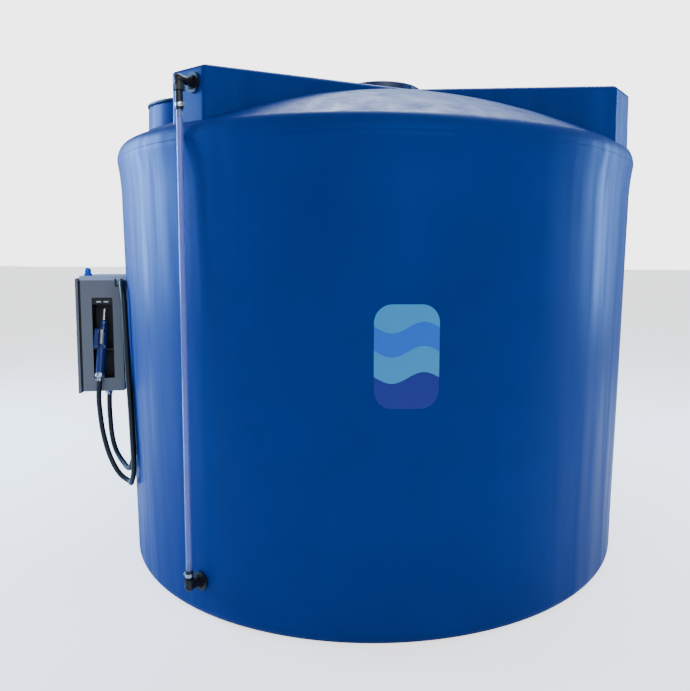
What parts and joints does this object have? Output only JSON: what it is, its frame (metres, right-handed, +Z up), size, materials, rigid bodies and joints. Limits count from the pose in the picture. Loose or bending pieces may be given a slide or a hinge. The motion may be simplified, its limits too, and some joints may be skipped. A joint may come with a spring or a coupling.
{
  "type": "vertical liquid storage tank with dispensing cabinet",
  "caption": "Upright round plastic liquid tank with a raised four-arm roof, manhole, sight gauge, wall cabinet, pump, delivery hose and hand nozzle",
  "frame": {"origin": "centre of the tank's flat base on the ground", "axes": "+Z up; -Y is the side with the emblem; the cabinet is on the -X side"},
  "size_m": [2.9637, 2.7458, 2.4823],
  "materials": {
    "tank_blue": "moulded",
    "dark_blue_plastic": "moulded",
    "nozzle_blue": "satin",
    "lamp_blue": "clear coat",
    "black_plastic": "moulded",
    "black_rubber": "smooth",
    "clear_tube": "clear",
    "grey_paint": "powder coat",
    "light_paint": "powder coat",
    "steel": "stainless",
    "zinc": "zinc plated",
    "alu": "satin",
    "motor_paint": "enamel",
    "white_pipe": "smooth",
    "label_white": "printed label",
    "emblem_blue": "printed film"
  },
  "bodies": {
    "tank": {"tank_shell": "tank_blue", "manhole_gasket": "black_rubber", "boss_gasket": "black_rubber", "boss_cover": "dark_blue_plastic", "boss_screws": "steel", "vent_stem": "black_plastic", "vent_hood": "black_plastic", "fill_socket": "black_plastic", "emblem_plate": "emblem_blue", "gauge_upper_bulkhead": "black_plastic", "gauge_upper_elbow": "black_plastic", "gauge_upper_nut": "black_plastic", "gauge_tube": "clear_tube", "gauge_lower_bulkhead": "black_plastic", "gauge_lower_elbow": "black_plastic", "gauge_lower_nut": "black_plastic", "gauge_gaskets": "black_rubber", "gauge_backnuts": "black_plastic", "gauge_clamps": "steel", "cabinet_brackets": "zinc", "bracket_bolts": "steel", "cabinet_box": "grey_paint", "cabinet_hood": "light_paint", "nozzle_side_panel": "grey_paint", "side_panel_screws": "grey_paint", "door_seal": "black_rubber", "door_hinge_leaves": "steel", "door_hinge_pins": "steel", "holster_pocket": "black_plastic", "nozzle_rest": "black_plastic", "holster_labels": "label_white", "lamp_base": "lamp_blue", "lamp_dome": "lamp_blue", "pump_head": "nozzle_blue", "pump_motor": "motor_paint", "pump_bench": "zinc", "flow_meter": "black_plastic", "pump_pipework": "steel", "suction_bulkhead": "black_plastic", "dip_tube": "white_pipe", "foot_strainer": "black_plastic", "cable_gland": "black_plastic", "outlet_fitting": "steel", "hose_hook": "black_plastic", "delivery_hose": "black_rubber"},
    "door": {"cabinet_door": "grey_paint", "door_hinge_knuckles": "steel"},
    "lock": {"door_lock": "zinc"},
    "lid": {"manhole_lid": "dark_blue_plastic"},
    "fill_cap": {"fill_cap": "dark_blue_plastic"},
    "nozzle": {"nozzle_grip": "nozzle_blue", "nozzle_body": "nozzle_blue", "nozzle_guard": "nozzle_blue", "lever_pin": "steel", "nozzle_collar": "nozzle_blue", "nozzle_spout": "alu"},
    "hose_end": {"hose_ferrule": "steel", "nozzle_swivel": "alu"},
    "lever": {"nozzle_lever": "alu"}
  },
  "joints": [
    {"name": "cabinet_door", "type": "hinge", "parent": "tank", "child": "door", "pos_m": [-1.58227, -0.06779, 1.13], "axis": [0, 0, -1], "range_deg": [0, 110]},
    {"name": "door_lock_turn", "type": "hinge", "parent": "door", "child": "lock", "pos_m": [-1.52648, -0.44178, 1.145], "axis": [0.9848, 0.1736, 0], "range_deg": [-90, 0]},
    {"name": "manhole_lid_turn", "type": "hinge", "parent": "tank", "child": "lid", "pos_m": [0.03, 0, 2.46], "axis": [0, 0, 1], "continuous": true},
    {"name": "fill_cap_turn", "type": "hinge", "parent": "tank", "child": "fill_cap", "pos_m": [0.67089, 0.86928, 2.34], "axis": [0, 0, 1], "continuous": true},
    {"name": "nozzle_lift", "type": "slide", "parent": "tank", "child": "nozzle", "axis": [0.1706, -0.9677, 0.1857], "range_m": [0, 0.12]},
    {"name": "hose_swivel_turn", "type": "hinge", "parent": "nozzle", "child": "hose_end", "pos_m": [-1.40888, -0.47365, 0.93049], "axis": [0.0125, 0.1905, 0.9816], "continuous": true},
    {"name": "nozzle_trigger", "type": "hinge", "parent": "nozzle", "child": "lever", "pos_m": [-1.39714, -0.45737, 1.16077], "axis": [0.9853, 0.1652, -0.0446], "range_deg": [0, 6.5], "stiffness_Nm_per_rad": 1.5}
  ]
}
